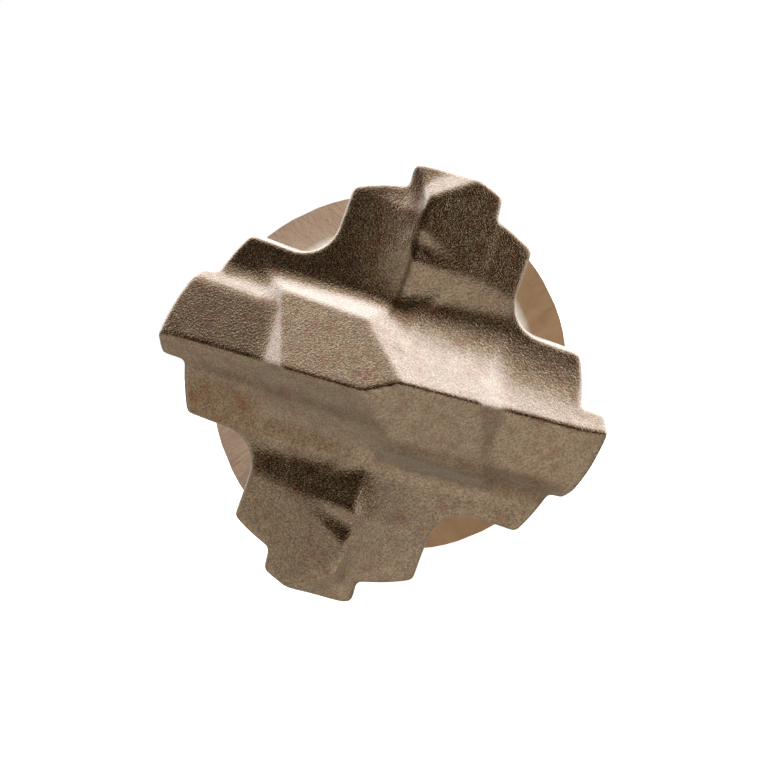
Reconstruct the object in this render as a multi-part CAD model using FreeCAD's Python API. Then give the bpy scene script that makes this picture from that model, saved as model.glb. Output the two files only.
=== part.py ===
import FreeCAD, Part
import math
import os

# SDS plus drill bit: a carbide head with four cutters, brazed on a fluted steel body.
# Lengths are millimetres and angles are degrees. The bit is drawn upright, tip up along +Z with the
# apex at the origin, and its angles are those seen when looking at the tip. It is laid down at the end.

# Whole bit
total_length = 160.0
working_length = 100.0

# Carbide head: cross-shaped body
head_length = 10.0
cross_radius = 5.4
cross_angle = 70.0
cross_bar_width = 5.14
notch_fillet = 1.0

# Carbide head: valley floors between the cutters, falling away from the apex
floor_height = -2.5
floor_fall_side = 0.12
floor_fall_out = 0.3

# Carbide head: main cutter, a roof along its edge line
main_radius = 6.2
main_edge_angle = -15.3
main_edge_lead = 0.25
main_peak = -0.61
main_fall_out = 0.4
main_relief = 0.6
main_rake = 1.8
main_back_angle = -17.65
main_back_offset = 1.5
main_back_height = -2.8
main_front_offset = 1.0
cutter_back_draft = 5.0
main_corner_start = 5.4
main_corner_fall = 1.0
main_outer_relief = 0.15
cutter_back_taper = 2.8

# Carbide head: centring tip that stands on the main cutter
tip_fall_out = 0.45
tip_relief = 0.9
tip_reach = 3.32
tip_step_fall = 1.55

# Carbide head: secondary cutter
side_radius = 5.87
side_edge_angle = 76.0
side_crest_radius = 3.9
side_edge_lag = 0.06
side_crest_height = -2.3
side_rise_in = 0.25
side_fall_out = 0.2
side_relief_in = 0.3
side_relief_out = 0.35
side_rake = 1.5
side_back_offset = 1.93
side_back_height = -3.2
side_front_offset = 0.6
side_end_start = 5.15
side_end_fall = 1.4
side_end_turn = 27.5
side_outer_relief = 0.1

# Steel body: four helical flutes that run out before the neck
land_diameter = 10.5
flute_count = 4
flute_lead = 52.0
flute_depth = 1.75
flute_arc_radius = 2.75
flute_runout_length = 14.0
flute_end_gap = 4.0
flute_overrun = 0.5
front_chamfer = 0.3
sections_per_turn = 20
neck_taper_length = 2.5

# SDS plus shank
shank_diameter = 10.0
rear_chamfer = 1.0
drive_slot_width = 3.6
drive_slot_depth = 1.7
drive_slot_length = 29.0
lock_groove_width = 5.0
lock_groove_depth = 1.35
lock_groove_arc = 3.6
lock_groove_start = 12.0
lock_groove_length = 17.0
shank_key_angle = 45.0

# Laid flat on the lands: the widest gap between two cutter corners points down
rest_direction = -65.9

origin = FreeCAD.Vector(0.0, 0.0, 0.0)
axis = FreeCAD.Vector(0.0, 0.0, 1.0)
reach = 4.0 * main_radius
flutes_end = -working_length + neck_taper_length + flute_end_gap
straight_down = -90.0
half_turn = 180.0
quarter_turn = 90.0


def polar(radius, angle, height=0.0):
    """Point at a radius and an angle round the bit's axis."""
    turn = math.radians(angle)
    return FreeCAD.Vector(radius * math.cos(turn), radius * math.sin(turn), height)


def turned(shape, angle):
    """Copy of a shape, turned about the bit's axis."""
    copy = shape.copy()
    copy.rotate(origin, axis, angle)
    return copy


def moved(shape, offset):
    """Copy of a shape, moved by a vector."""
    copy = shape.copy()
    copy.translate(offset)
    return copy


def below(point, out, fall_out, side, fall_side):
    """Block under the plane through a point that falls along two directions."""
    normal = out * fall_out + side * fall_side + axis
    block = Part.makeBox(2.0 * reach, 2.0 * reach, 2.0 * reach)
    block.translate(FreeCAD.Vector(-reach, -reach, -2.0 * reach))
    block.Placement = FreeCAD.Placement(point, FreeCAD.Rotation(axis, normal)).multiply(block.Placement)
    return block


def column(radius):
    """Round column as tall as the head."""
    return Part.makeCylinder(radius, head_length, axis * -head_length, axis)


def outer_face(radius, corner_height, lean_angle, lean):
    """Tapered column that gives a cutter its outer face, leant sideways for relief behind its corner."""
    base = polar(lean, lean_angle, -head_length)
    foot_radius = radius - (head_length + corner_height) / cutter_back_taper
    top_radius = radius - corner_height / cutter_back_taper
    return Part.makeCone(foot_radius, top_radius, head_length, base, axis)


def back_face(angle, offset, height):
    """Block whose drafted side stands along an angle, at an offset from the axis."""
    out = polar(1.0, angle)
    side = polar(1.0, angle + quarter_turn)
    return below(side * offset + axis * height, out, 0.0, side, cutter_back_draft)


def foot(angle, front_offset, back_offset):
    """Column of the cross with one bar under a cutter, which keeps the cutter's sides off the notches."""
    bar = Part.makeBox(2.0 * main_radius, front_offset + back_offset, head_length)
    bar.translate(FreeCAD.Vector(-main_radius, -back_offset, -head_length))
    return fused([notched_column(), turned(bar, angle)])


def common_of(shapes):
    """Solid that all the shapes share."""
    result = shapes[0]
    for shape in shapes[1:]:
        result = result.common(shape)
    return result


def fused(shapes):
    """One solid made of several, with split faces merged."""
    return shapes[0].fuse(shapes[1:]).removeSplitter()


def cross_bar(angle):
    """One bar of the cross, as tall as the head."""
    half_width = cross_bar_width / 2.0
    bar = Part.makeBox(2.0 * cross_radius, cross_bar_width, head_length)
    bar.translate(FreeCAD.Vector(-cross_radius, -half_width, -head_length))
    return turned(bar, angle)


def notched_column():
    """Round column with four filleted notches between the arms of the cross."""
    cross = fused([cross_bar(cross_angle), cross_bar(cross_angle + quarter_turn)])
    inner_corner = cross_bar_width / math.sqrt(2.0)
    corners = [
        edge
        for edge in cross.Edges
        if abs(math.hypot(edge.CenterOfMass.x, edge.CenterOfMass.y) - inner_corner) < notch_fillet / 2.0
        and edge.Length > head_length / 2.0
    ]
    cross = cross.makeFillet(notch_fillet, corners)
    return cross.common(column(cross_radius))


def valley_floors():
    """Four sloping floors: they fall to both sides of the main cutter and out along it."""
    out = polar(1.0, main_edge_angle)
    side = polar(1.0, main_edge_angle + quarter_turn)
    peak = axis * floor_height
    planes = [
        below(peak, out * along, floor_fall_out, side * across, floor_fall_side)
        for along in (1.0, -1.0)
        for across in (1.0, -1.0)
    ]
    return common_of(planes)


def main_cutter():
    """Half of the main cutter: flank, rake face, corner chamfer, back and outer face."""
    out = polar(1.0, main_edge_angle)
    side = polar(1.0, main_edge_angle + quarter_turn)
    edge = side * main_edge_lead + axis * main_peak
    corner_height = main_peak - main_fall_out * main_corner_start
    corner = side * main_edge_lead + out * main_corner_start + axis * corner_height
    tip_height = corner_height - main_corner_fall * (main_radius - main_corner_start)
    faces = [
        outer_face(main_radius, tip_height, main_edge_angle + quarter_turn, main_outer_relief),
        foot(main_back_angle, main_front_offset, main_back_offset),
        below(edge, out, main_fall_out, side, -main_relief),
        below(edge, out, main_fall_out, side, main_rake),
        below(corner, out, main_corner_fall, side, -main_relief),
        back_face(main_back_angle + half_turn, main_back_offset, main_back_height),
    ]
    half = Part.makeBox(reach, 2.0 * reach, head_length)
    half.translate(FreeCAD.Vector(0.0, -reach, -head_length))
    return common_of(faces + [turned(half, main_edge_angle)])


def centring_tip():
    """Four-sided tip over the middle of the main cutter, with a steep step at each end."""
    faces = [column(cross_radius)]
    for angle in (main_edge_angle, main_edge_angle + half_turn):
        out = polar(1.0, angle)
        side = polar(1.0, angle + quarter_turn)
        edge = side * main_edge_lead + axis * (tip_relief * main_edge_lead)
        step_height = main_peak - main_fall_out * tip_reach
        step = side * main_edge_lead + out * tip_reach + axis * step_height
        faces += [
            below(origin, out, tip_fall_out, side, -tip_relief),
            below(edge, out, tip_fall_out, side, main_rake),
            below(step, out, tip_step_fall, side, -main_relief),
            below(step, out, tip_step_fall, side, main_rake),
            back_face(main_back_angle + angle - main_edge_angle, main_back_offset, main_back_height),
        ]
    return common_of(faces)


def side_cutter():
    """Secondary cutter: two flanks, an end chamfer, a rake face under each, back and outer face."""
    out = polar(1.0, side_edge_angle)
    side = polar(1.0, side_edge_angle + quarter_turn)
    crest = out * side_crest_radius + axis * side_crest_height
    end_height = side_crest_height - side_fall_out * (side_end_start - side_crest_radius)
    end = out * side_end_start + axis * end_height
    end_out = polar(1.0, side_edge_angle + side_end_turn)
    corner_height = end_height - (side_fall_out + side_end_fall) * (side_radius - side_end_start)
    lag = side * side_edge_lag
    end_edge_fall = side_fall_out + side_end_fall * math.cos(math.radians(side_end_turn))
    faces = [
        outer_face(side_radius, corner_height, side_edge_angle + quarter_turn, side_outer_relief),
        foot(side_edge_angle, side_front_offset, side_back_offset),
        below(crest, out, -side_rise_in, side, -side_relief_in),
        below(crest, out, side_fall_out, side, -side_relief_out),
        below(end, out * side_fall_out - side * side_relief_out + end_out * side_end_fall, 1.0, side, 0.0),
        below(crest - lag, out, -side_rise_in, side, side_rake),
        below(crest - lag, out, side_fall_out, side, side_rake),
        below(end - lag, out, end_edge_fall, side, side_rake),
        back_face(side_edge_angle + half_turn, side_back_offset, side_back_height),
    ]
    half = Part.makeBox(reach, 2.0 * reach, head_length)
    half.translate(FreeCAD.Vector(0.0, -reach, -head_length))
    return common_of(faces + [turned(half, side_edge_angle)])


def carbide_head():
    """Cross body with its valleys, two halves of the main cutter, centring tip and side cutters."""
    body = notched_column().common(valley_floors())
    cutters = [centring_tip()]
    for angle in (0.0, half_turn):
        cutters.append(turned(main_cutter(), angle))
        cutters.append(turned(side_cutter(), angle))
    return fused([body] + cutters)


def flute_cutter(start_angle):
    """Right-hand helical cutter for one flute, which climbs out of the steel at its rear end."""
    land_radius = land_diameter / 2.0
    deep_centre = land_radius - flute_depth + flute_arc_radius
    top = -head_length + flute_overrun
    bottom = flutes_end
    count = math.ceil((top - bottom) / flute_lead * sections_per_turn)
    sections = []
    for index in range(count + 1):
        height = top + (bottom - top) * index / count
        angle = start_angle - 2.0 * half_turn * (-head_length - height) / flute_lead
        climb = max(0.0, (bottom + flute_runout_length - height) / flute_runout_length)
        centre_radius = deep_centre + (flute_depth + flute_overrun) * climb ** 2
        centre = polar(centre_radius, angle, height)
        outward = polar(flute_arc_radius, angle)
        sideways = polar(flute_arc_radius, angle + quarter_turn)
        near = [centre + sideways, centre - sideways]
        far = [point + outward for point in near]
        sections.append(Part.Wire([
            Part.Arc(near[0], centre - outward, near[1]).toShape(),
            Part.LineSegment(near[1], far[1]).toShape(),
            Part.LineSegment(far[1], far[0]).toShape(),
            Part.LineSegment(far[0], near[0]).toShape(),
        ]))
    return Part.makeLoft(sections, True, False)


def turned_blank(points):
    """Solid of revolution from its half outline, given as radius and height."""
    outline = [FreeCAD.Vector(radius, 0.0, height) for radius, height in points]
    face = Part.Face(Part.makePolygon(outline + [outline[0]]))
    return face.revolve(origin, axis, 2.0 * half_turn)


def drive_slot():
    """Open slot from the rear end of the shank, with a round run-out at its front."""
    rear = -total_length
    floor = shank_diameter / 2.0 - drive_slot_depth
    half_width = drive_slot_width / 2.0
    straight = drive_slot_length - half_width
    slot = Part.makeBox(reach, drive_slot_width, straight)
    slot.translate(FreeCAD.Vector(floor, -half_width, rear))
    end_centre = FreeCAD.Vector(floor, 0.0, rear + straight)
    run_out = Part.makeCylinder(half_width, reach, end_centre, FreeCAD.Vector(1.0, 0.0, 0.0))
    return slot.fuse(run_out)


def lock_groove():
    """Closed groove for a locking ball: a round-bottomed trough with rounded ends."""
    start = -total_length + lock_groove_start
    half_width = lock_groove_width / 2.0
    straight = lock_groove_length - lock_groove_width
    centre_x = shank_diameter / 2.0 - lock_groove_depth + lock_groove_arc
    trough_base = FreeCAD.Vector(centre_x, 0.0, start)
    trough = Part.makeCylinder(lock_groove_arc, lock_groove_length, trough_base, axis)
    plan = Part.makeBox(reach, lock_groove_width, straight)
    plan.translate(FreeCAD.Vector(0.0, -half_width, start + half_width))
    for height in (start + half_width, start + half_width + straight):
        end_centre = FreeCAD.Vector(0.0, 0.0, height)
        plan = plan.fuse(Part.makeCylinder(half_width, reach, end_centre, FreeCAD.Vector(1.0, 0.0, 0.0)))
    return trough.common(plan)


def steel_body():
    """Fluted rod, run-out, neck and shank with two drive slots and two locking grooves."""
    front = -head_length
    land_radius = land_diameter / 2.0
    shank_radius = shank_diameter / 2.0
    body = turned_blank([
        (0.0, front),
        (land_radius - front_chamfer, front),
        (land_radius, front - front_chamfer),
        (land_radius, -working_length + neck_taper_length),
        (shank_radius, -working_length),
        (shank_radius, -total_length + rear_chamfer),
        (shank_radius - rear_chamfer, -total_length),
        (0.0, -total_length),
    ])
    pitch = 2.0 * half_turn / flute_count
    for index in range(flute_count):
        body = body.cut(flute_cutter(cross_angle - pitch / 2.0 + index * pitch))
    for angle in (shank_key_angle, shank_key_angle + half_turn):
        body = body.cut(turned(drive_slot(), angle))
        body = body.cut(turned(lock_groove(), angle + quarter_turn))
    return body


def at_rest(shape):
    """The upright shape laid on the ground, tip towards -Y, with the object's middle at the origin."""
    laid = turned(shape, straight_down - rest_direction)
    laid.rotate(origin, FreeCAD.Vector(1.0, 0.0, 0.0), quarter_turn)
    return laid


def write_parts():
    """Lay every piece down, move the whole to its origin and write one file for each piece."""
    pieces = {
        "carbide_head": at_rest(carbide_head()),
        "steel_body": at_rest(steel_body()),
    }
    head_depth = -pieces["carbide_head"].optimalBoundingBox(False, False).ZMin
    rest_height = max(land_diameter / 2.0, head_depth)
    offset = FreeCAD.Vector(0.0, -total_length / 2.0, rest_height)
    os.makedirs("parts", exist_ok=True)
    for name, shape in pieces.items():
        placed = moved(shape, offset)
        solid = placed.Solids[0]
        solid.exportStep("parts/" + name + ".step")
        print(name, len(placed.Solids), solid.isValid(), round(solid.Volume, 2))
    print("offset", offset)


write_parts()
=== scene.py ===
import math

import bpy
import numpy as np
from mathutils import Matrix, Vector


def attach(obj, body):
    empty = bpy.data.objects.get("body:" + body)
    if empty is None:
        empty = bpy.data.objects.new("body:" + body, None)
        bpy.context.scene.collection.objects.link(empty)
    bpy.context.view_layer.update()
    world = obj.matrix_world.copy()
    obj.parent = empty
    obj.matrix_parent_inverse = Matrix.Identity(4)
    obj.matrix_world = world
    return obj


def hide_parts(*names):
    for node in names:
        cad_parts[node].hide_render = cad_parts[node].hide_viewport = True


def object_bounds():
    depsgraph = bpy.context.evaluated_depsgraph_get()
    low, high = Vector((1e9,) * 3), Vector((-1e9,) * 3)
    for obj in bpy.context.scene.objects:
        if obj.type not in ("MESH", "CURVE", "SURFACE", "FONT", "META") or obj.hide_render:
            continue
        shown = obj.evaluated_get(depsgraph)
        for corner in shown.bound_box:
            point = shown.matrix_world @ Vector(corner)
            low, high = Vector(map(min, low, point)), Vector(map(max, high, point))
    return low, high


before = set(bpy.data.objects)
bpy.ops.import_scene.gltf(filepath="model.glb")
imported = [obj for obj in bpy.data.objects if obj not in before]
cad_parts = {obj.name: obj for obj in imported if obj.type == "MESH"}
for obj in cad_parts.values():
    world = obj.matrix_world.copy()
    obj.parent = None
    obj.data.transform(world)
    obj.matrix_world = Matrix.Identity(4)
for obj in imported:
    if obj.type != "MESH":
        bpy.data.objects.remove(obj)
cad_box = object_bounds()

# The head is worked out in the bit's own frame, in millimetres: x and y as the photograph shows them, and z
# towards the viewer with the apex at 0. The bit lies on its lands and points to -Y, and ROLL is the
# angle that it is turned by about its axis.
MM = 0.001
ROLL = math.radians(24.1)
APEX_Y = cad_box[0][1]
AXIS_Z = cad_box[1][2] / 2.0
AXIS = (0.0, 0.0)
QUARTER_TURN = 90.0
HALF_TURN = 180.0

# Angles are in degrees, counter-clockwise from the picture's right, and heights are along z. A slope says how
# far a facet falls in each millimetre: outwards along its cutter, then towards its leading side or its back.
HEAD_LENGTH = 10.0
HALF_OVERLAP = 0.3
WALL_TAPER = 2.8

# The cross-shaped trunk and the floor of the valleys between the cutters
CROSS_ANGLE = 70.0
CROSS_WIDTH = 5.14
CROSS_RADIUS = 5.4
CROSS_FILLET = 1.0
VALLEY_HEIGHT = -2.48
VALLEY_SLOPE = (0.3, 0.2)
VALLEY_BLEND = 0.15

# Main cutters: the edge lies a little ahead of the axis and falls outwards from its peak
MAIN_ANGLE = -15.3
MAIN_BACK_ANGLE = -17.65
MAIN_RADIUS = 6.2
MAIN_LEAD = 0.25
MAIN_PEAK = -0.61
MAIN_FLANK = (0.4, -0.6)
MAIN_RAKE = (0.4, 1.5)
MAIN_CORNER_START = 5.53
MAIN_CORNER_HEIGHT = MAIN_PEAK - MAIN_FLANK[0] * MAIN_CORNER_START
MAIN_CORNER = (0.62, -0.5)
MAIN_BACK_OFFSET = 1.27
MAIN_BACK_HEIGHT = -1.66
MAIN_BACK = (0.4, 2.0)
MAIN_BACK_BLEND = 0.12
MAIN_FOOT_FRONT = 1.0
MAIN_FOOT_BACK = 1.5
MAIN_WALL_DROP = 0.55
MAIN_WALL_LEAN = 0.15
MAIN_BLEND = 0.05

# The raised tip on the main cutters, which ends in a step
TIP_LENGTH = 3.32
TIP_FLANK = (0.45, -0.9)
TIP_RAKE = (0.45, 1.8)
TIP_STEP_HEIGHT = MAIN_PEAK - MAIN_FLANK[0] * TIP_LENGTH
TIP_STEP_FLANK = (1.45, -0.6)
TIP_STEP_RAKE = (1.45, 1.8)
TIP_BACK_OFFSET = 1.55
TIP_BACK_HEIGHT = -1.32
TIP_BACK = (0.45, 2.9)
TIP_BLEND = 0.12

# Secondary cutters: the edge lies a little behind the axis, with a crest, a shoulder by it and an end facet
SIDE_ANGLE = 76.0
SIDE_RADIUS = 5.95
SIDE_LAG = 0.06
SIDE_CREST_AT = 3.65
SIDE_CREST_HEIGHT = -2.3
SIDE_CREST_BLEND = 0.08
SIDE_INNER_FLANK = (-0.40, -0.36)
SIDE_OUTER_FLANK = (0.1, -0.42)
SIDE_INNER_RAKE = (-0.27, 1.15)
SIDE_OUTER_RAKE = (0.1, 1.15)
SIDE_SHOULDER_BACK = 0.25
SIDE_SHOULDER_DROP = 0.1
SIDE_SHOULDER_ANGLE = 8.0
SIDE_SHOULDER_FALL = 0.55
SIDE_SHOULDER_BLEND = 0.2
SIDE_END_AT = 5.1
SIDE_END_HEIGHT = -2.465
SIDE_END_TURN = 27.5
SIDE_END_FALL = 1.7
SIDE_END_RAKE = (0.577, 2.5)
SIDE_END_SOFT_DROP = 0.35
SIDE_END_SOFT = (1.2, 1.2)
SIDE_END_BLEND = 0.12
SIDE_FOOT_FRONT = 0.6
SIDE_FOOT_BACK = 1.93
SIDE_BACK_HEIGHT = -3.2
SIDE_BACK_FALL = 5.0
SIDE_WALL_DROP = 1.45
SIDE_WALL_LEAN = 0.1

# A shallow groove that fades out behind each secondary edge
GROOVE_START = (0.95, 3.85, -2.04)
GROOVE_DIRECTION = (0.84, -0.50, -0.22)
GROOVE_RADIUS = 0.5
GROOVE_BLEND = 0.12

# Fillets at the cutters' feet: the least width, what is added at most, and where that starts and is full
SIDE_FILLET = (0.25, 0.5, -0.15, 0.35)
MAIN_FILLET = (0.35, 0.7, -0.5, 0.5)

# The grid, which is coarser in depth below the cutters, and the blur that rounds every edge
CELL = 0.065
CELLS_EACH_WAY = 99
FINE_DEPTH = 5.2
DEEP_STEP = 0.25
TOP_MARGIN = 0.2
EDGE_BLUR = 0.075
BLUR_REACH = 2.5
CELL_CORNERS = 8
QUAD_CORNERS = 4

# Painted shade on the head, darker places that stand in for shade: strengths, places and widths, and where
# each one starts and is full
DARK_END_BORDER = 0.48
DARK_END_NEAR = (0.02, 0.12)
DARK_END_FAR = (0.6, 0.3)
DARK_END_ALONG = (3.9, 4.4)
DARK_EDGE = 0.8
DARK_EDGE_AHEAD = 0.05
DARK_EDGE_BEND = 0.087
DARK_EDGE_WIDTH = 0.07
DARK_EDGE_INNER = (1.6, 2.0)
DARK_EDGE_OUTER = (4.9, 4.6)
DARK_CREASE = 0.42
DARK_CREASE_BEHIND = 1.02
DARK_CREASE_BEND = 0.04
DARK_CREASE_WIDTH = 0.16
DARK_CREASE_FAR = (-5.4, -4.6)
DARK_CREASE_NEAR = (0.6, -0.2)
DARK_BACK = 0.45
DARK_BACK_INNER = (0.2, 1.0)
DARK_BACK_OUTER = (5.6, 5.0)
DARK_BACK_TOP = (1.2, 1.4)
DARK_BACK_FOOT = (2.2, 1.9)


def polar(radius, angle):
    a = math.radians(angle)
    return np.array([radius * math.cos(a), radius * math.sin(a)])


def axes_at(angle):
    """Unit vectors outwards along a cutter and towards its leading side."""
    return polar(1.0, angle), polar(1.0, angle + QUARTER_TURN)


def tilt(axes, slope):
    """A facet's fall along x and y, from its slope along two axes."""
    return axes[0] * slope[0] + axes[1] * slope[1]


def dot(p, direction):
    """How far points lie along a direction in x and y."""
    return p[0] * direction[0] + p[1] * direction[1]


def fade(value, nothing, full):
    """From 0 where the value is at nothing to 1 where it is at full, and level beyond them."""
    return np.clip((value - nothing) / (full - nothing), 0.0, 1.0)


def to_world(points):
    """Bit frame in millimetres to the row frame in metres."""
    c, s = math.cos(ROLL), math.sin(ROLL)
    x, y, z = points[:, 0], points[:, 1], points[:, 2]
    return np.stack([(x * c + y * s) * MM, APEX_Y - z * MM, AXIS_Z + (-x * s + y * c) * MM], 1)


# Fields: signed distances in millimetres, negative inside the metal

def plane(p, at, height, slope):
    """Distance above the plane through a point; slope is how fast it falls along x and y."""
    x, y, z = p
    length = math.sqrt(slope[0] ** 2 + slope[1] ** 2 + 1.0)
    return ((x - at[0]) * (slope[0] / length) + (y - at[1]) * (slope[1] / length)) + (z - height) / length


def join(a, b, k):
    """Smooth union: a concave fillet of width k."""
    h = np.maximum(k - np.abs(a - b), 0.0)
    return np.minimum(a, b) - h * h * (0.25 / k)


def meet(a, b, k):
    """Smooth intersection: a rounded edge of width k."""
    h = np.maximum(k - np.abs(a - b), 0.0)
    return np.maximum(a, b) + h * h * (0.25 / k)


def round_join(a, b, radius):
    """Union of two walls at a right angle, with a round fillet."""
    u = np.maximum(radius - a, 0.0)
    v = np.maximum(radius - b, 0.0)
    return np.maximum(radius, np.minimum(a, b)) - np.hypot(u, v)


def bar(p, angle, front, back):
    """Vertical bar through the axis, from front on its leading side to back behind it."""
    across = dot(p, axes_at(angle)[1])
    return np.maximum(across - front, -across - back)


def leant_cone(p, radius, height, lean_angle, lean):
    """Outer face of a cutter: widest at its corner, drawn in behind it and towards the shank."""
    c = polar(lean, lean_angle)
    wall = np.hypot(p[0] - c[0], p[1] - c[1]) - (radius + (p[2] - height) / WALL_TAPER)
    return wall / math.sqrt(1.0 + 1.0 / WALL_TAPER ** 2)


def opposite(field):
    """The same field turned by half a turn about the axis, on a grid that is symmetric in x and y."""
    return field[::-1, ::-1, :]


def one_half(p, field, out):
    """A cutter kept to its own side of the axis, and a little beyond."""
    return np.maximum(field, -dot(p, out) - HALF_OVERLAP)


def cross_field(p):
    half = CROSS_WIDTH / 2.0
    first = bar(p, CROSS_ANGLE, half, half)
    second = bar(p, CROSS_ANGLE + QUARTER_TURN, half, half)
    return np.maximum(round_join(first, second, CROSS_FILLET), np.hypot(p[0], p[1]) - CROSS_RADIUS)


def valley_field(p):
    """Floor of the valleys between the cutters: four faces that fall away from the axis."""
    out, side = axes_at(MAIN_ANGLE)
    field = None
    for along in (1.0, -1.0):
        for across in (1.0, -1.0):
            slope = tilt((out * along, side * across), VALLEY_SLOPE)
            face = plane(p, AXIS, VALLEY_HEIGHT, slope)
            field = face if field is None else meet(field, face, VALLEY_BLEND)
    return field


def main_field(p):
    """A main cutter: flank, corner facet, soft back face and rake face."""
    axes = axes_at(MAIN_ANGLE)
    out, side = axes
    edge = side * MAIN_LEAD
    corner = edge + out * MAIN_CORNER_START
    back = polar(1.0, MAIN_BACK_ANGLE - QUARTER_TURN)
    back_face = plane(p, back * MAIN_BACK_OFFSET, MAIN_BACK_HEIGHT, tilt((out, back), MAIN_BACK))
    field = plane(p, edge, MAIN_PEAK, tilt(axes, MAIN_FLANK))
    field = np.maximum(field, plane(p, corner, MAIN_CORNER_HEIGHT, tilt(axes, MAIN_CORNER)))
    field = meet(field, back_face, MAIN_BACK_BLEND)
    field = np.maximum(field, plane(p, edge, MAIN_PEAK, tilt(axes, MAIN_RAKE)))
    return one_half(p, field, out)


def tip_field(p):
    """The raised chisel tip on the main cutters, the same on both sides of the axis."""
    field = np.hypot(p[0], p[1]) - CROSS_RADIUS
    for turn in (0.0, HALF_TURN):
        axes = axes_at(MAIN_ANGLE + turn)
        out, side = axes
        edge = side * MAIN_LEAD
        step = edge + out * TIP_LENGTH
        back = polar(1.0, MAIN_BACK_ANGLE + turn - QUARTER_TURN)
        back_face = plane(p, back * TIP_BACK_OFFSET, TIP_BACK_HEIGHT, tilt((out, back), TIP_BACK))
        faces = (
            plane(p, AXIS, 0.0, tilt(axes, TIP_FLANK)),
            plane(p, edge, -TIP_FLANK[1] * MAIN_LEAD, tilt(axes, TIP_RAKE)),
            plane(p, step, TIP_STEP_HEIGHT, tilt(axes, TIP_STEP_FLANK)),
            plane(p, step, TIP_STEP_HEIGHT, tilt(axes, TIP_STEP_RAKE)),
            np.minimum(back_face, dot(p, out) + HALF_OVERLAP),
        )
        for face in faces:
            field = np.maximum(field, face)
    return field


def side_top(p, axes, crest, end):
    """Upper faces of a secondary cutter: two flanks that meet in a crest, the shoulder, end and groove."""
    out, side = axes
    end_slope = tilt(axes, SIDE_OUTER_FLANK) + polar(1.0, SIDE_ANGLE + SIDE_END_TURN) * SIDE_END_FALL
    shoulder_at = crest - side * SIDE_SHOULDER_BACK
    shoulder_height = SIDE_CREST_HEIGHT - SIDE_SHOULDER_DROP
    shoulder = plane(p, shoulder_at, shoulder_height, polar(SIDE_SHOULDER_FALL, SIDE_SHOULDER_ANGLE))
    outer = plane(p, crest, SIDE_CREST_HEIGHT, tilt(axes, SIDE_OUTER_FLANK))
    top = plane(p, crest, SIDE_CREST_HEIGHT, tilt(axes, SIDE_INNER_FLANK))
    top = meet(top, outer, SIDE_CREST_BLEND)
    top = meet(top, shoulder, SIDE_SHOULDER_BLEND)
    top = np.maximum(top, plane(p, end, SIDE_END_HEIGHT, end_slope))
    return meet(top, groove(p), GROOVE_BLEND)


def side_field(p):
    """A secondary cutter: its upper faces, a rake face that turns at the crest and the end, and a back."""
    axes = axes_at(SIDE_ANGLE)
    out, side = axes
    back = polar(1.0, SIDE_ANGLE - QUARTER_TURN)
    crest = out * SIDE_CREST_AT
    end = out * SIDE_END_AT
    lag = side * SIDE_LAG
    soft_height = SIDE_END_HEIGHT - SIDE_END_SOFT_DROP
    top = side_top(p, axes, crest, end)
    cutter = np.maximum(top, plane(p, crest - lag, SIDE_CREST_HEIGHT, tilt(axes, SIDE_INNER_RAKE)))
    cutter = np.maximum(cutter, plane(p, crest - lag, SIDE_CREST_HEIGHT, tilt(axes, SIDE_OUTER_RAKE)))
    soft = np.maximum(cutter, plane(p, end - lag, soft_height, tilt(axes, SIDE_END_SOFT)))
    cutter = np.maximum(cutter, plane(p, end - lag, SIDE_END_HEIGHT, tilt(axes, SIDE_END_RAKE)))
    cutter = join(cutter, soft, SIDE_END_BLEND)
    cutter = np.maximum(cutter, plane(p, back * SIDE_FOOT_BACK, SIDE_BACK_HEIGHT, back * SIDE_BACK_FALL))
    skirt = np.maximum(top, dot(p, side))
    return one_half(p, np.minimum(cutter, skirt), out)


def groove(p):
    """Shallow groove that fades out behind a secondary cutter's edge, as a distance to stay clear of."""
    away = [p[i] - GROOVE_START[i] for i in range(3)]
    t = np.maximum(sum(away[i] * GROOVE_DIRECTION[i] for i in range(3)), 0.0)
    d = np.sqrt(sum((away[i] - t * GROOVE_DIRECTION[i]) ** 2 for i in range(3)))
    return GROOVE_RADIUS - d


def wall_field(p):
    """The head's upright walls: the cross, and the feet of the cutters that stand out from it."""
    walls = cross_field(p)
    main_height = MAIN_CORNER_HEIGHT - MAIN_WALL_DROP
    main = leant_cone(p, MAIN_RADIUS, main_height, MAIN_ANGLE + QUARTER_TURN, MAIN_WALL_LEAN)
    main = np.maximum(bar(p, MAIN_BACK_ANGLE, MAIN_FOOT_FRONT, MAIN_FOOT_BACK), main)
    side_height = SIDE_END_HEIGHT - SIDE_WALL_DROP
    side = leant_cone(p, SIDE_RADIUS, side_height, SIDE_ANGLE + QUARTER_TURN, SIDE_WALL_LEAN)
    side = np.maximum(bar(p, SIDE_ANGLE, SIDE_FOOT_FRONT, SIDE_FOOT_BACK), side)
    for angle, foot in ((MAIN_ANGLE, main), (SIDE_ANGLE, side)):
        foot = np.maximum(foot, -dot(p, polar(1.0, angle)))
        walls = np.minimum(walls, np.minimum(foot, opposite(foot)))
    return walls


def fillet_width(value, fillet):
    """A fillet's width where it changes along the cutter's foot."""
    least, gain, start, full = fillet
    return least + gain * fade(value, start, full)


def head_field(p):
    main_out, main_side = axes_at(MAIN_ANGLE)
    ahead = dot(p, axes_at(SIDE_ANGLE)[1])
    leading = dot(p, main_out) * dot(p, main_side)
    main = main_field(p)
    secondary = side_field(p)
    foot = fillet_width(ahead, SIDE_FILLET)
    field = join(join(valley_field(p), secondary, foot), opposite(secondary), opposite(foot))
    cutters = join(join(main, opposite(main), MAIN_BLEND), tip_field(p), TIP_BLEND)
    field = join(field, cutters, fillet_width(leading, MAIN_FILLET))
    return np.maximum(field, wall_field(p))


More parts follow.
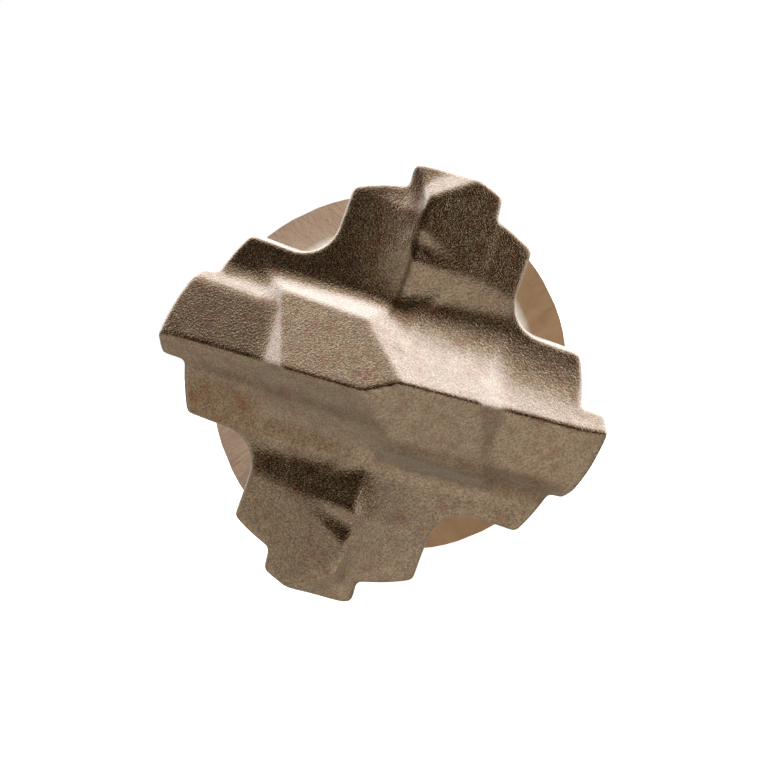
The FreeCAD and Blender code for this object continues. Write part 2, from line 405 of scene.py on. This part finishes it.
def blurred(field, cells):
    """Field smoothed over a few cells, which rounds every edge a little."""
    reach = int(math.ceil(BLUR_REACH * cells))
    weights = np.exp(-0.5 * (np.arange(-reach, reach + 1) / cells) ** 2)
    weights = (weights / weights.sum()).astype(np.float32)
    for a in range(3):
        padded = np.pad(field, [(reach, reach) if i == a else (0, 0) for i in range(3)], mode="edge")
        total = np.zeros_like(field)
        for i, w in enumerate(weights):
            piece = [slice(None)] * 3
            piece[a] = slice(i, i + field.shape[a])
            total += w * padded[tuple(piece)]
        field = total
    return field


def crossed_cells(inside):
    """Grid cells with corners both inside and outside the metal."""
    low = [slice(0, n - 1) for n in inside.shape]
    high = [slice(1, n) for n in inside.shape]
    count = np.zeros([n - 1 for n in inside.shape], np.int8)
    for i in (0, 1):
        for j in (0, 1):
            for k in (0, 1):
                count += inside[(low, high)[i][0], (low, high)[j][1], (low, high)[k][2]]
    return np.argwhere((count > 0) & (count < CELL_CORNERS))


def net_points(field, axes, cells):
    """One point for each cell: the mean of the places where the surface crosses the cell's edges."""
    total = np.zeros((len(cells), 3))
    hits = np.zeros(len(cells))
    for a in range(3):
        b, c = (a + 1) % 3, (a + 2) % 3
        for i in (0, 1):
            for j in (0, 1):
                start = cells.copy()
                start[:, b] += i
                start[:, c] += j
                end = start.copy()
                end[:, a] += 1
                f0, f1 = field[tuple(start.T)], field[tuple(end.T)]
                crossed = (f0 < 0.0) != (f1 < 0.0)
                t = np.where(crossed, f0 / np.where(crossed, f0 - f1, 1.0), 0.0)
                point = np.zeros((len(cells), 3))
                point[:, a] = axes[a][start[:, a]] * (1.0 - t) + axes[a][end[:, a]] * t
                point[:, b] = axes[b][start[:, b]]
                point[:, c] = axes[c][start[:, c]]
                total += point * crossed[:, None]
                hits += crossed
    return total / hits[:, None]


def net_quads(inside, cells):
    """One quad for each grid edge that the surface crosses, between the four cells round that edge."""
    shape = inside.shape
    index = np.full([n - 1 for n in shape], -1, np.int32)
    index[tuple(cells.T)] = np.arange(len(cells))
    quads = []
    for a in range(3):
        b, c = (a + 1) % 3, (a + 2) % 3
        first, second = [slice(None)] * 3, [slice(None)] * 3
        first[a], second[a] = slice(0, shape[a] - 1), slice(1, shape[a])
        for other in (b, c):
            first[other] = second[other] = slice(1, shape[other] - 1)
        f0, f1 = inside[tuple(first)], inside[tuple(second)]
        for leaving in (True, False):
            at = np.argwhere((f0 & ~f1) if leaving else (~f0 & f1))
            at[:, b] += 1
            at[:, c] += 1
            ring = []
            for db, dc in ((0, 0), (-1, 0), (-1, -1), (0, -1)):
                cell = at.copy()
                cell[:, b] += db
                cell[:, c] += dc
                ring.append(index[tuple(cell.T)])
            quad = np.stack(ring, 1)
            quads.append(quad if leaving else quad[:, ::-1])
    return np.concatenate(quads)


def surface_net(field, axes):
    """Points and quads on the field's zero surface."""
    inside = field < 0.0
    cells = crossed_cells(inside)
    return net_points(field, axes, cells), net_quads(inside, cells)


def mesh_object(name, points, quads, material):
    """A smooth-shaded object of four-sided faces."""
    mesh = bpy.data.meshes.new(name)
    mesh.vertices.add(len(points))
    mesh.vertices.foreach_set("co", points.astype(np.float32).ravel())
    mesh.loops.add(quads.size)
    mesh.loops.foreach_set("vertex_index", quads.astype(np.int32).ravel())
    mesh.polygons.add(len(quads))
    mesh.polygons.foreach_set("loop_start", np.arange(0, quads.size, QUAD_CORNERS, dtype=np.int32))
    mesh.update(calc_edges=True)
    mesh.validate()
    mesh.polygons.foreach_set("use_smooth", np.ones(len(mesh.polygons), bool))
    mesh.materials.append(material)
    obj = bpy.data.objects.new(name, mesh)
    bpy.context.scene.collection.objects.link(obj)
    return obj


# Painted shade: how dark each point of the head is made, from 0 to 1, by the millimetres along a cutter and
# ahead of its axis

def beside(points, angle):
    out, side = axes_at(angle)
    return dot(points.T, out), dot(points.T, side)


def stripe(ahead, middle, width):
    return np.exp(-((ahead - middle) / width) ** 2)


def dark_end(along, ahead):
    """Painted shade ahead of a secondary cutter's edge, beside its end facet."""
    past = ahead - DARK_END_BORDER * np.maximum(along - SIDE_END_AT, 0.0)
    return fade(past, *DARK_END_NEAR) * fade(past, *DARK_END_FAR) * fade(along, *DARK_END_ALONG)


def dark_edge(along, ahead):
    """A thin painted line of shade along a secondary cutter's edge, which bends inside the crest."""
    middle = DARK_EDGE_AHEAD + DARK_EDGE_BEND * np.maximum(SIDE_CREST_AT - along, 0.0)
    span = fade(along, *DARK_EDGE_INNER) * fade(along, *DARK_EDGE_OUTER)
    return DARK_EDGE * span * stripe(ahead, middle, DARK_EDGE_WIDTH)


def dark_crease(along, ahead):
    """Painted shade in the crease below one main rake face."""
    middle = -DARK_CREASE_BEHIND - DARK_CREASE_BEND * along
    span = fade(along, *DARK_CREASE_FAR) * fade(along, *DARK_CREASE_NEAR)
    return DARK_CREASE * span * stripe(ahead, middle, DARK_CREASE_WIDTH)


def dark_back(along, ahead):
    """Painted shade on the back wall of one main cutter."""
    span = fade(along, *DARK_BACK_INNER) * fade(along, *DARK_BACK_OUTER)
    return DARK_BACK * span * fade(-ahead, *DARK_BACK_TOP) * fade(-ahead, *DARK_BACK_FOOT)


def painted_shade(points):
    """How much painted shade each point gets, by the darkest of the four places."""
    by_side = beside(points, SIDE_ANGLE)
    by_main = beside(points, MAIN_ANGLE)
    secondary = np.maximum(dark_end(*by_side), dark_edge(*by_side))
    return np.maximum(secondary, np.maximum(dark_crease(*by_main), dark_back(*by_main)))


def head_grid():
    """Grid lines across and along the bit; they are closer together where the cutters are."""
    side = (np.arange(CELLS_EACH_WAY) + 0.5) * CELL
    side = np.concatenate([-side[::-1], side])
    deep = np.arange(-HEAD_LENGTH - DEEP_STEP, -FINE_DEPTH, DEEP_STEP)
    fine = np.arange(-FINE_DEPTH, TOP_MARGIN, CELL)
    return side, np.concatenate([deep, fine])


def carbide_head(material):
    side, height = head_grid()
    lines = [axis.astype(np.float32) for axis in (side, side, height)]
    p = [lines[0][:, None, None], lines[1][None, :, None], lines[2][None, None, :]]
    field = blurred(head_field(p), EDGE_BLUR / CELL)
    field = np.maximum(field, -HEAD_LENGTH - p[2])
    points, quads = surface_net(field, [side, side, height])
    obj = mesh_object("carbide_head_blasted", to_world(points), quads, material)
    # Painted shade, stored as a point attribute that the material reads
    painted_shade_mask = obj.data.attributes.new("painted_shade", "FLOAT", "POINT")
    painted_shade_mask.data.foreach_set("value", painted_shade(points).astype(np.float32))
    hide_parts("carbide_head")
    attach(obj, "root")
    # The facets reflect the studio alone, and not each other
    obj.visible_glossy = False


# Materials: settings, the sizes of grain and spots, and ramps of colour; lengths here are in metres

MIX_FACTOR, MIX_FIRST, MIX_SECOND = 0, 6, 7
MIX_RESULT = 2

CARBIDE = {"Metallic": 1.0, "Roughness": 0.24, "Coat Roughness": 0.25, "Coat IOR": 1.9}
CARBIDE_CLOUD_SCALE = 2500.0
CARBIDE_CLOUDS = [
    (0.32, (0.25, 0.125, 0.075)),
    (0.46, (0.27, 0.185, 0.118)),
    (0.75, (0.33, 0.245, 0.165)),
]
CARBIDE_SPECK_SCALE = 16000.0
CARBIDE_SPECKS = [(0.36, (0.55, 0.53, 0.50)), (0.60, (1.22, 1.21, 1.18))]
# Colour that the painted shade multiplies into the carbide
CARBIDE_PAINTED_SHADE = (0.42, 0.37, 0.32, 1.0)
CARBIDE_COAT = 0.8
CARBIDE_GRAIN_SCALE = 17000.0
CARBIDE_GRAIN_DEPTH = 0.000032
CARBIDE_GRAIN_STRENGTH = 1.0

STEEL = {"Metallic": 0.35, "Roughness": 0.5}
STEEL_SPOT_SCALE = 900.0
# Painted reflection: the pale colour of the flutes stands in for the bright backdrop that they mirror
STEEL_PAINTED_REFLECTION = [(0.30, (0.58, 0.55, 0.48)), (0.7, (0.76, 0.73, 0.66))]
STEEL_BROWN = [(0.30, (0.235, 0.125, 0.06)), (0.7, (0.32, 0.20, 0.105))]
STEEL_GREY = [(0.30, (0.36, 0.32, 0.28)), (0.7, (0.48, 0.44, 0.39))]
STEEL_LAND_RADIUS = (0.00412, 0.00435)
STEEL_FLUTES_FADE = (0.022, 0.012)
STEEL_GRAIN_SCALE = 4000.0
STEEL_GRAIN_DEPTH = 0.00005
STEEL_GRAIN_STRENGTH = 0.6

FLOOR = {
    "Base Color": (0.9, 0.9, 0.89, 1.0),
    "Roughness": 0.9,
    "Specular IOR Level": 0.2,
    "Emission Color": (1.0, 1.0, 1.0, 1.0),
    "Emission Strength": 0.93,
}
FLOOR_REACH = 4.0


def node(tree, kind, **values):
    """New node; each value goes to the input of that name, or else to the node's own setting."""
    n = tree.nodes.new(kind)
    for key, value in values.items():
        if key in n.inputs:
            n.inputs[key].default_value = value
        else:
            setattr(n, key, value)
    return n


def feed(tree, value, socket):
    """Link a node's output to a socket, or set a plain value on it."""
    if isinstance(value, bpy.types.NodeSocket):
        tree.links.new(value, socket)
    else:
        socket.default_value = value


def new_material(name, settings):
    mat = bpy.data.materials.new(name)
    mat.use_nodes = True
    bsdf = mat.node_tree.nodes["Principled BSDF"]
    for key, value in settings.items():
        bsdf.inputs[key].default_value = value
    return mat, mat.node_tree, bsdf


def grain(tree, coords, scale, detail, roughness=0.6):
    """Cloudy noise; a larger scale is finer."""
    n = node(tree, "ShaderNodeTexNoise", Scale=scale, Detail=detail, Roughness=roughness)
    feed(tree, coords, n.inputs["Vector"])
    return n.outputs["Fac"]


def ramp(tree, value, stops):
    """Colour that changes with a value, through stops of a place and a colour."""
    n = node(tree, "ShaderNodeValToRGB")
    feed(tree, value, n.inputs["Fac"])
    elements = n.color_ramp.elements
    while len(elements) < len(stops):
        elements.new(0.5)
    for element, (at, colour) in zip(elements, stops):
        element.position = at
        element.color = (*colour, 1.0)
    return n.outputs["Color"]


def blend(tree, kind, factor, a, b):
    n = node(tree, "ShaderNodeMix", data_type="RGBA", blend_type=kind)
    feed(tree, factor, n.inputs[MIX_FACTOR])
    feed(tree, a, n.inputs[MIX_FIRST])
    feed(tree, b, n.inputs[MIX_SECOND])
    return n.outputs[MIX_RESULT]


def remap(tree, value, start, full, low=0.0, high=1.0, kind="LINEAR"):
    """From low where the value is at start to high where it is at full, and level beyond them."""
    n = node(tree, "ShaderNodeMapRange", interpolation_type=kind)
    for key, number in (("From Min", start), ("From Max", full), ("To Min", low), ("To Max", high)):
        n.inputs[key].default_value = number
    feed(tree, value, n.inputs["Value"])
    return n.outputs["Result"]


def combine(tree, operation, a, b):
    n = node(tree, "ShaderNodeMath", operation=operation)
    feed(tree, a, n.inputs[0])
    feed(tree, b, n.inputs[1])
    return n.outputs["Value"]


def vector_node(tree, operation, *vectors):
    n = node(tree, "ShaderNodeVectorMath", operation=operation)
    for vector, socket in zip(vectors, n.inputs):
        feed(tree, vector, socket)
    return n


def rough_normal(tree, bsdf, height, strength, distance):
    bump = node(tree, "ShaderNodeBump", Strength=strength, Distance=distance)
    feed(tree, height, bump.inputs["Height"])
    feed(tree, bump.outputs["Normal"], bsdf.inputs["Normal"])


def blasted_carbide():
    """Warm brown metal with clouds, specks and fine grain, and painted shade that makes it darker and without
    a coat in places.
    """
    mat, tree, bsdf = new_material("blasted_carbide", CARBIDE)
    coords = node(tree, "ShaderNodeTexCoord").outputs["Object"]
    clouds = ramp(tree, grain(tree, coords, CARBIDE_CLOUD_SCALE, detail=3.0), CARBIDE_CLOUDS)
    specks = ramp(tree, grain(tree, coords, CARBIDE_SPECK_SCALE, detail=2.0), CARBIDE_SPECKS)
    # Painted shade darkens the colour and takes away the coat
    painted_shade_mask = node(tree, "ShaderNodeAttribute", attribute_name="painted_shade").outputs["Fac"]
    colour = blend(tree, "MULTIPLY", 1.0, clouds, specks)
    colour = blend(tree, "MULTIPLY", painted_shade_mask, colour, CARBIDE_PAINTED_SHADE)
    feed(tree, colour, bsdf.inputs["Base Color"])
    feed(tree, remap(tree, painted_shade_mask, 0.0, 1.0, CARBIDE_COAT, 0.0), bsdf.inputs["Coat Weight"])
    fine = grain(tree, coords, CARBIDE_GRAIN_SCALE, detail=2.0, roughness=0.65)
    rough_normal(tree, bsdf, fine, CARBIDE_GRAIN_STRENGTH, CARBIDE_GRAIN_DEPTH)
    return mat


def blasted_steel():
    """Pale in the flutes as a painted reflection of the bright backdrop, brown on the lands between them, and
    grey on the shank.
    """
    mat, tree, bsdf = new_material("blasted_steel", STEEL)
    coords = node(tree, "ShaderNodeTexCoord").outputs["Object"]
    spots = grain(tree, coords, STEEL_SPOT_SCALE, detail=4.0)
    position = node(tree, "ShaderNodeNewGeometry").outputs["Position"]
    offset = vector_node(tree, "SUBTRACT", position, (0.0, 0.0, AXIS_Z)).outputs["Vector"]
    across = vector_node(tree, "MULTIPLY", offset, (1.0, 0.0, 1.0)).outputs["Vector"]
    radius = vector_node(tree, "LENGTH", across).outputs["Value"]
    parts = node(tree, "ShaderNodeSeparateXYZ")
    feed(tree, offset, parts.inputs[0])
    land = remap(tree, radius, *STEEL_LAND_RADIUS)
    fluted = remap(tree, parts.outputs["Y"], *STEEL_FLUTES_FADE)
    # The pale colour in the flutes is a painted reflection of the bright backdrop
    pale, brown, grey = (ramp(tree, spots, stops) for stops in (STEEL_PAINTED_REFLECTION, STEEL_BROWN, STEEL_GREY))
    colour = blend(tree, "MIX", fluted, grey, pale)
    colour = blend(tree, "MIX", combine(tree, "MULTIPLY", land, fluted), colour, brown)
    feed(tree, colour, bsdf.inputs["Base Color"])
    fine = grain(tree, coords, STEEL_GRAIN_SCALE, detail=4.0)
    rough_normal(tree, bsdf, fine, STEEL_GRAIN_STRENGTH, STEEL_GRAIN_DEPTH)
    return mat


# Stage: a pale floor and a bright studio behind the object, dim on the camera's side

RIGHT = Vector((math.cos(ROLL), 0.0, -math.sin(ROLL)))
UP = Vector((math.sin(ROLL), 0.0, math.cos(ROLL)))
AWAY = Vector((0.0, 1.0, 0.0))

# Directions of the light as angles in the picture, and where each lobe starts and is full, with its levels
ABOVE_ANGLE = 80.0
UNDER_ANGLE = -90.0
LEFT_ANGLE = 238.0
BEHIND_SIDEWAYS = 0.12
BEHIND_AWAY = 0.99
FLAG_ANGLE = -130.0
FLAG_TILT = 75.0
FLAG = (0.92, 0.98, 1.0, 0.35)
BACKDROP_BEHIND = (0.13, 0.29, 0.0, 1.0)
BACKDROP_ABOVE = (-0.2, 0.5, 0.36, 2.6)
UPPER_BEHIND = (-0.6, -0.25, 0.0, 0.62)
UPPER_ABOVE = (0.5, 0.82, 0.0, 1.0)
LOWER_BEHIND = (0.0, 0.55, 1.0, 0.45)
LOWER_UNDER = (0.12, 0.33, 0.02, 0.88)
FOOT_BEHIND = (0.5, 0.62, 0.0, 0.54)
FOOT_UNDER = (0.4, 0.65, 0.0, 1.0)
LEFT_BEHIND = (0.0, 0.6, 1.0, 0.4)
LEFT_SIDE = (0.2, 0.45, 0.02, 0.66)
LIGHT_TINT = [
    (0.0, (1.0, 0.86, 0.69)),
    (0.5, (1.0, 0.89, 0.70)),
    (0.88, (1.0, 0.93, 0.78)),
    (1.0, (1.0, 1.0, 1.0)),
]


def image_axis(angle):
    """World direction that points to an angle in the picture, counter-clockwise from its right."""
    return RIGHT * math.cos(math.radians(angle)) + UP * math.sin(math.radians(angle))


def pale_floor():
    mesh = bpy.data.meshes.new("floor")
    corners = [(x * FLOOR_REACH, y * FLOOR_REACH, 0.0) for x, y in ((-1, -1), (1, -1), (1, 1), (-1, 1))]
    mesh.from_pydata(corners, [], [(0, 1, 2, 3)])
    mesh.materials.append(new_material("pale_floor", FLOOR)[0])
    floor = bpy.data.objects.new("floor", mesh)
    bpy.context.scene.collection.objects.link(floor)
    floor.visible_glossy = False


def studio_light():
    """Light that depends on its direction alone; the camera itself sees it as white."""
    world = bpy.data.worlds.new("studio")
    bpy.context.scene.world = world
    world.use_nodes = True
    tree = world.node_tree
    direction = node(tree, "ShaderNodeTexCoord").outputs["Generated"]

    def towards(axis):
        return vector_node(tree, "DOT_PRODUCT", direction, axis).outputs["Value"]

    def soft(value, limits):
        return remap(tree, value, *limits, kind="SMOOTHSTEP")

    def lobe(value, limits, other, other_limits):
        return combine(tree, "MULTIPLY", soft(value, limits), soft(other, other_limits))

    def brightest(first, *others):
        for other in others:
            first = combine(tree, "MAXIMUM", first, other)
        return first

    tilted = math.radians(FLAG_TILT)
    flag = soft(towards(image_axis(FLAG_ANGLE) * math.sin(tilted) - AWAY * math.cos(tilted)), FLAG)
    behind = towards(RIGHT * BEHIND_SIDEWAYS + AWAY * BEHIND_AWAY)
    above = towards(image_axis(ABOVE_ANGLE))
    under = towards(image_axis(UNDER_ANGLE))
    left = towards(image_axis(LEFT_ANGLE))
    backdrop = lobe(behind, BACKDROP_BEHIND, above, BACKDROP_ABOVE)
    upper = lobe(behind, UPPER_BEHIND, above, UPPER_ABOVE)
    lower = lobe(under, LOWER_UNDER, behind, LOWER_BEHIND)
    foot = lobe(behind, FOOT_BEHIND, under, FOOT_UNDER)
    side_light = lobe(left, LEFT_SIDE, behind, LEFT_BEHIND)
    fill = combine(tree, "MULTIPLY", brightest(lower, side_light), flag)
    seen = node(tree, "ShaderNodeLightPath").outputs["Is Camera Ray"]
    strength = brightest(backdrop, upper, fill, foot, seen)
    background = tree.nodes["Background"]
    feed(tree, strength, background.inputs["Strength"])
    feed(tree, ramp(tree, strength, LIGHT_TINT), background.inputs["Color"])


# Camera: the photograph's end-on view, rolled about the bit's axis

CAMERA_DISTANCE = 0.140
CAMERA_RIGHT = 0.8
CAMERA_UP = 1.5
CAMERA_AIM_DEPTH = 0.0036
CAMERA_AIM_RIGHT = 0.000027
CAMERA_LENS = 242.8
CAMERA_SENSOR = 36.0
CAMERA_CLIP = 0.01


def photo_camera():
    data = bpy.data.cameras.new("camera")
    data.lens = CAMERA_LENS
    data.sensor_width = CAMERA_SENSOR
    data.clip_start = CAMERA_CLIP
    camera = bpy.data.objects.new("camera", data)
    bpy.context.scene.collection.objects.link(camera)
    sideways = RIGHT * math.tan(math.radians(CAMERA_RIGHT)) + UP * math.tan(math.radians(CAMERA_UP))
    back = (sideways - AWAY).normalized()
    right = UP.cross(back).normalized()
    up = back.cross(right).normalized()
    aim = Vector((0.0, APEX_Y + CAMERA_AIM_DEPTH, AXIS_Z)) + right * CAMERA_AIM_RIGHT
    position = Matrix.Translation(aim + back * CAMERA_DISTANCE)
    camera.matrix_world = position @ Matrix((right, up, back)).transposed().to_4x4()
    bpy.context.scene.camera = camera


carbide_head(blasted_carbide())

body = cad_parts["steel_body"]
body.data.materials.clear()
body.data.materials.append(blasted_steel())

pale_floor()
studio_light()
photo_camera()
bpy.context.scene.view_settings.view_transform = "Standard"
bpy.context.scene.view_settings.look = "None"
